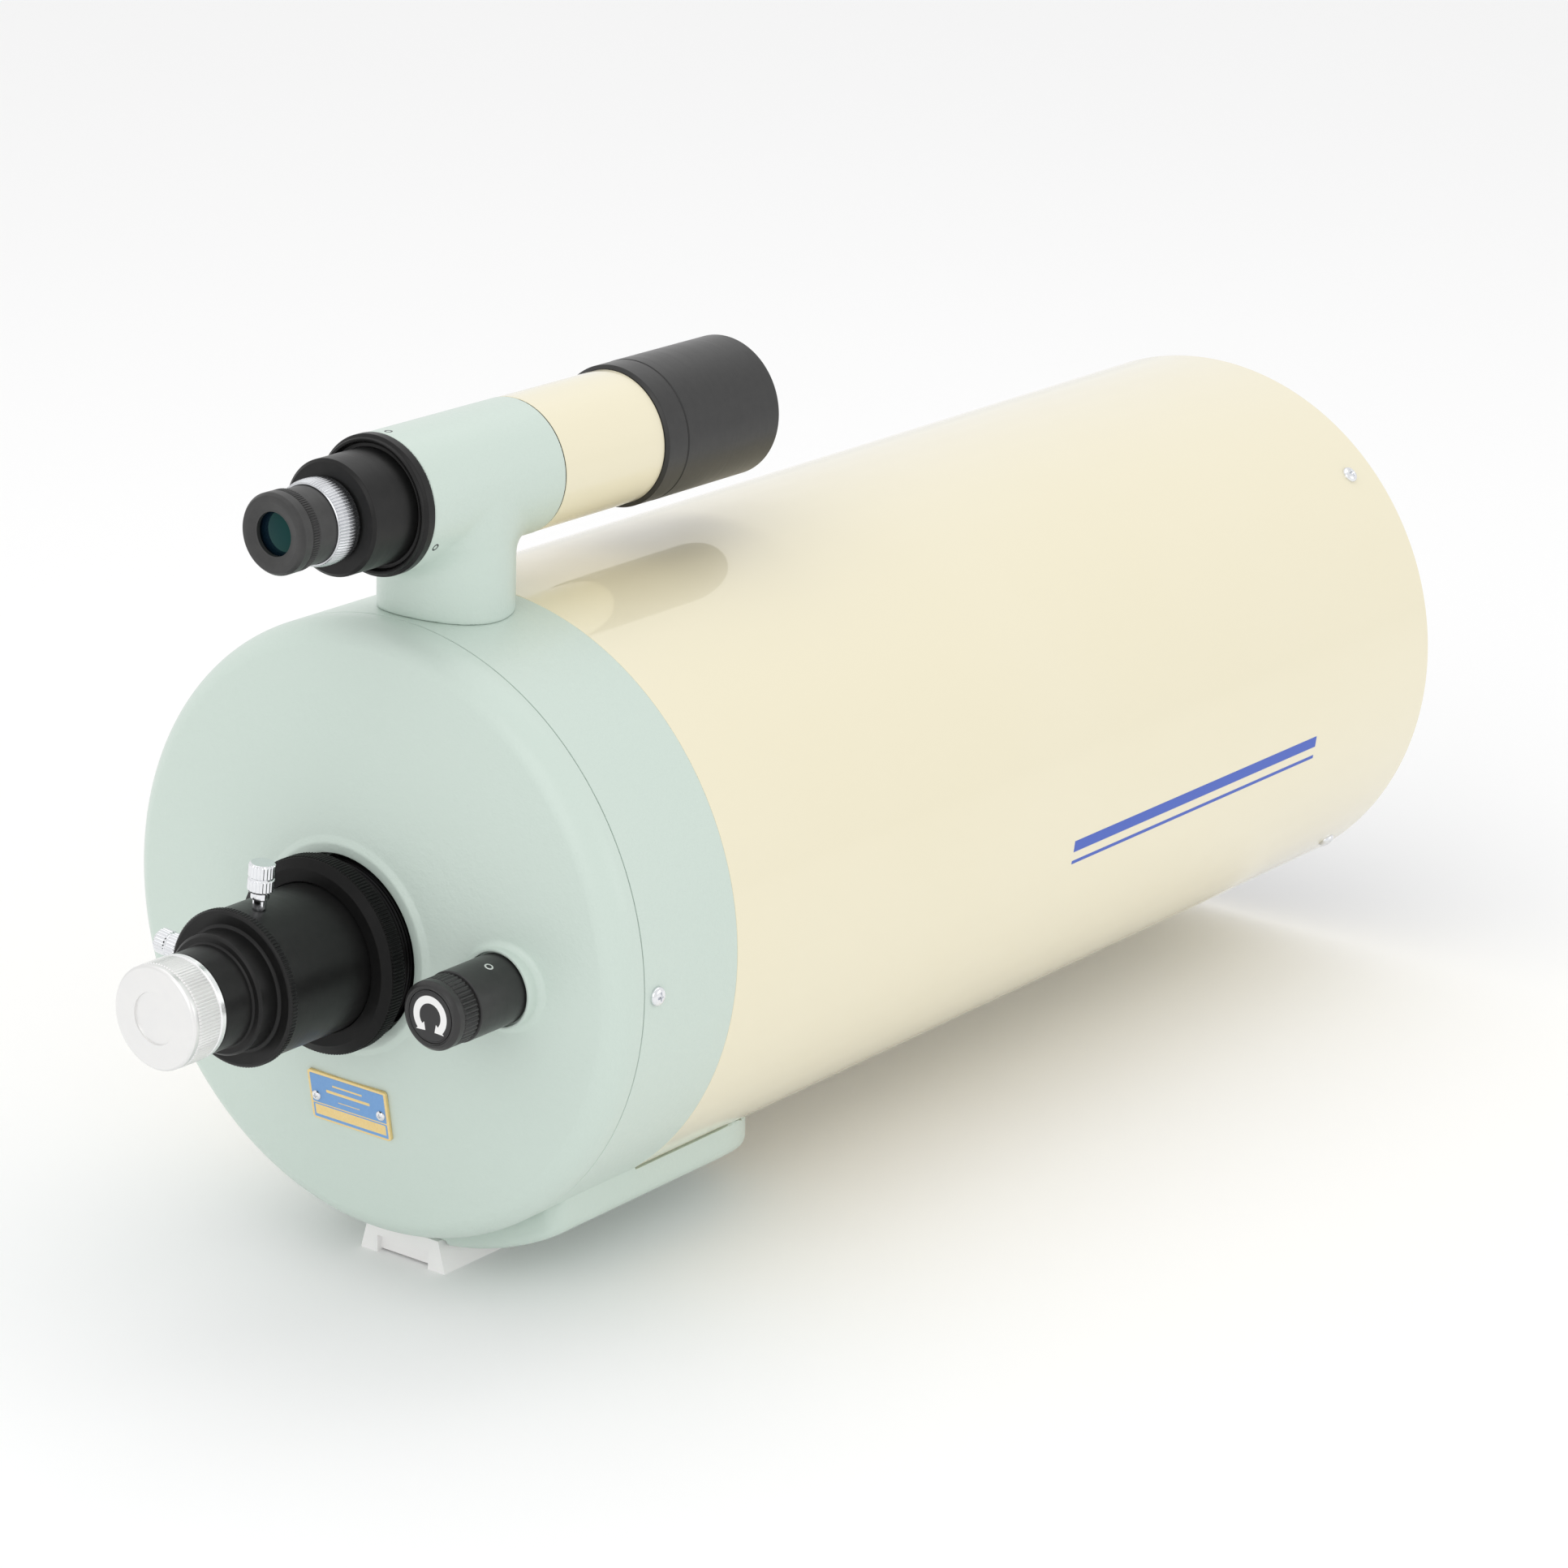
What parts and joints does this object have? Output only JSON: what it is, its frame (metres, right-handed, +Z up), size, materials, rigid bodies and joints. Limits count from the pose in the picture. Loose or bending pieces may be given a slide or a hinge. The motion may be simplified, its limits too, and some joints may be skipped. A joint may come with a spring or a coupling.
{
  "type": "cassegrain telescope",
  "caption": "Compact reflecting telescope tube with rear focus knob, eyepiece sleeve and dust cap, a finder on a pedestal, and a dovetail bar underneath.",
  "frame": {"origin": "centre of the dovetail bar's flat underside, which the telescope stands on", "axes": "+X along the optical axis towards the open front of the tube, +Y to the left seen from behind, +Z up through the finder"},
  "size_m": [0.6985, 0.2486, 0.3359],
  "materials": {
    "ivory_paint": "gloss",
    "green_paint": "satin",
    "black_anodised": "satin",
    "flat_black": "matte",
    "bare_aluminium": "satin",
    "chromed_brass": "polished",
    "screw_steel": "satin",
    "dark_steel": "satin",
    "bearing_brass": "satin",
    "mirror_glass": "polished",
    "lens_glass": "polished",
    "plate_enamel": "gloss",
    "disc_print": "satin"
  },
  "bodies": {
    "tube_assembly": {"main_tube": "ivory_paint", "front_ring": "flat_black", "front_screws": "chromed_brass", "spider": "flat_black", "secondary_holder": "flat_black", "secondary_mirror": "mirror_glass", "secondary_baffle": "flat_black", "collimation_screws": "screw_steel", "rear_cell": "green_paint", "rear_cover": "green_paint", "cell_screws": "chromed_brass", "nameplate": "plate_enamel", "nameplate_screws": "chromed_brass", "dovetail_bar": "bare_aluminium", "dovetail_screws": "dark_steel", "baffle_tube": "flat_black", "focus_bushing": "bearing_brass", "rear_neck": "black_anodised", "finder_bracket": "green_paint", "bracket_screws": "dark_steel", "finder_tube": "ivory_paint", "finder_set_screws": "dark_steel", "finder_objective_cell": "black_anodised", "finder_crown_lens": "lens_glass", "finder_flint_lens": "lens_glass", "finder_lens_ring": "flat_black", "finder_dew_shield": "black_anodised", "finder_focus_barrel": "black_anodised"},
    "mirror_group": {"primary_mirror": "mirror_glass", "mirror_carrier": "bare_aluminium", "mirror_clamp_ring": "flat_black", "focus_nut": "bearing_brass"},
    "knob_group": {"focus_shaft": "screw_steel", "shaft_collar": "dark_steel", "focus_knob": "black_anodised", "knob_direction_disc": "disc_print", "knob_set_screw": "dark_steel"},
    "locking_ring_body": {"locking_ring": "black_anodised"},
    "sleeve_body": {"eyepiece_sleeve": "black_anodised"},
    "top_shank_body": {"top_thumbscrew_shank": "chromed_brass"},
    "top_head_body": {"top_thumbscrew_head": "chromed_brass"},
    "side_shank_body": {"side_thumbscrew_shank": "chromed_brass"},
    "side_head_body": {"side_thumbscrew_head": "chromed_brass"},
    "adapter_body": {"eyepiece_adapter": "black_anodised"},
    "dust_cap_body": {"dust_cap": "bare_aluminium"},
    "finder_lock_ring_body": {"finder_lock_ring": "chromed_brass"},
    "finder_reticle_body": {"finder_reticle": "flat_black"},
    "finder_eyepiece_body": {"finder_eyepiece": "black_anodised", "finder_eye_lens": "lens_glass", "finder_field_lens": "lens_glass"}
  },
  "joints": [
    {"name": "focus_knob_turn", "type": "hinge", "parent": "tube_assembly", "child": "knob_group", "pos_m": [-0.121, -0.0732, 0.14], "axis": [1, 0, 0], "range_deg": [-1801, 1801]},
    {"name": "mirror_focus_slide", "type": "slide", "parent": "tube_assembly", "child": "mirror_group", "axis": [1, 0, 0], "range_m": [-0.005, 0.005]},
    {"name": "locking_ring_turn", "type": "hinge", "parent": "tube_assembly", "child": "locking_ring_body", "pos_m": [-0.122, 0, 0.14], "axis": [-1, 0, 0], "range_deg": [0, 90]},
    {"name": "sleeve_turn", "type": "hinge", "parent": "tube_assembly", "child": "sleeve_body", "pos_m": [-0.141, 0, 0.14], "axis": [-1, 0, 0], "range_deg": [-180, 180]},
    {"name": "top_thumbscrew_travel", "type": "slide", "parent": "sleeve_body", "child": "top_shank_body", "axis": [0, -0.0958, 0.9954], "range_m": [0, 0.00141]},
    {"name": "top_thumbscrew_turn", "type": "hinge", "parent": "top_shank_body", "child": "top_head_body", "pos_m": [-0.1588, -0.00335, 0.17484], "axis": [0, -0.0958, 0.9954], "range_deg": [0, 720]},
    {"name": "side_thumbscrew_travel", "type": "slide", "parent": "sleeve_body", "child": "side_shank_body", "axis": [0, 0.9954, 0.0958], "range_m": [0, 0.00141]},
    {"name": "side_thumbscrew_turn", "type": "hinge", "parent": "side_shank_body", "child": "side_head_body", "pos_m": [-0.1588, 0.03484, 0.14336], "axis": [0, 0.9954, 0.0958], "range_deg": [0, 720]},
    {"name": "adapter_pull", "type": "slide", "parent": "sleeve_body", "child": "adapter_body", "axis": [-1, 0, 0], "range_m": [0, 0.03]},
    {"name": "dust_cap_pull", "type": "slide", "parent": "adapter_body", "child": "dust_cap_body", "axis": [-1, 0, 0], "range_m": [0, 0.08]},
    {"name": "finder_lock_ring_turn", "type": "hinge", "parent": "tube_assembly", "child": "finder_lock_ring_body", "pos_m": [-0.123, 0, 0.3076], "axis": [-1, 0, 0], "range_deg": [0, 90]},
    {"name": "finder_focus_slide", "type": "slide", "parent": "tube_assembly", "child": "finder_reticle_body", "axis": [-1, 0, 0], "range_m": [-0.00301, 0.00301]},
    {"name": "finder_eyepiece_turn", "type": "hinge", "parent": "finder_reticle_body", "child": "finder_eyepiece_body", "pos_m": [-0.131, 0, 0.3076], "axis": [-1, 0, 0], "range_deg": [-1440, 1440]}
  ],
  "couplings": [
    {"joint": "focus_knob_turn", "follows": "mirror_focus_slide", "rad_per_m": 6283.2},
    {"joint": "top_thumbscrew_travel", "follows": "top_thumbscrew_turn", "m_per_rad": 0.00011141},
    {"joint": "side_thumbscrew_travel", "follows": "side_thumbscrew_turn", "m_per_rad": 0.00011141},
    {"joint": "finder_focus_slide", "follows": "finder_eyepiece_turn", "m_per_rad": 0.00011937}
  ]
}
